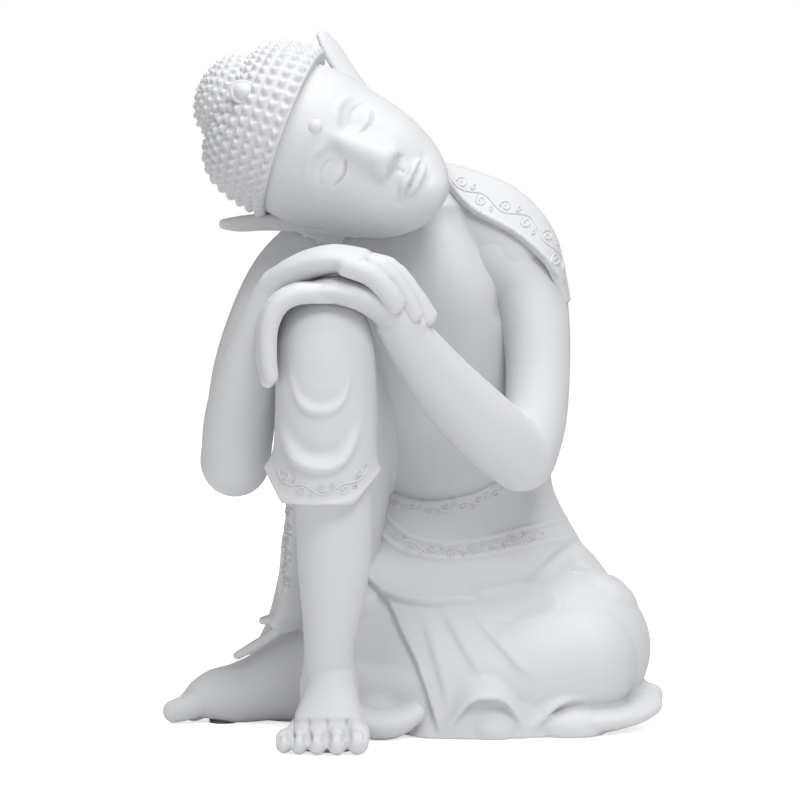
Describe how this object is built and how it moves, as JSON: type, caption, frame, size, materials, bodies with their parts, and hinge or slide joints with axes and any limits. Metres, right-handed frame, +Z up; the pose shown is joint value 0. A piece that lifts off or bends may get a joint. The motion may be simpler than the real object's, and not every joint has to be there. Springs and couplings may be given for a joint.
{
  "type": "buddha statue",
  "caption": "Seated resting figure in a draped robe, head laid on crossed hands over one raised knee, other leg folded flat.",
  "frame": {"origin": "on the ground, on the underside of the felt pad under the middle of the figure", "axes": "+Z up, the figure faces -Y, its left side is towards +X"},
  "size_m": [0.2895, 0.2248, 0.4],
  "materials": {
    "painted_resin": "matt sprayed paint over cast resin",
    "plain_resin": "unpainted cast resin, sanded flat",
    "felt": "pressed wool felt",
    "dowel_steel": "bright drawn steel"
  },
  "bodies": {
    "root": {"torso": "painted_resin", "head": "painted_resin", "hair_cap": "painted_resin", "topknot": "painted_resin", "hair_jewel": "painted_resin", "forehead_mark": "painted_resin", "left_ear": "painted_resin", "right_ear": "painted_resin", "left_arm": "painted_resin", "right_arm": "painted_resin", "raised_leg": "painted_resin", "knee_drape": "painted_resin", "side_drape": "painted_resin", "folded_foot": "painted_resin", "skirt": "painted_resin", "hem_frill": "painted_resin", "shawl": "painted_resin", "waist_sash": "painted_resin", "base_plate": "plain_resin", "felt_pads": "felt", "neck_dowel": "dowel_steel", "left_shoulder_dowel": "dowel_steel", "right_shoulder_dowel": "dowel_steel", "hip_dowel": "dowel_steel", "foot_dowel": "dowel_steel"}
  },
  "joints": []
}
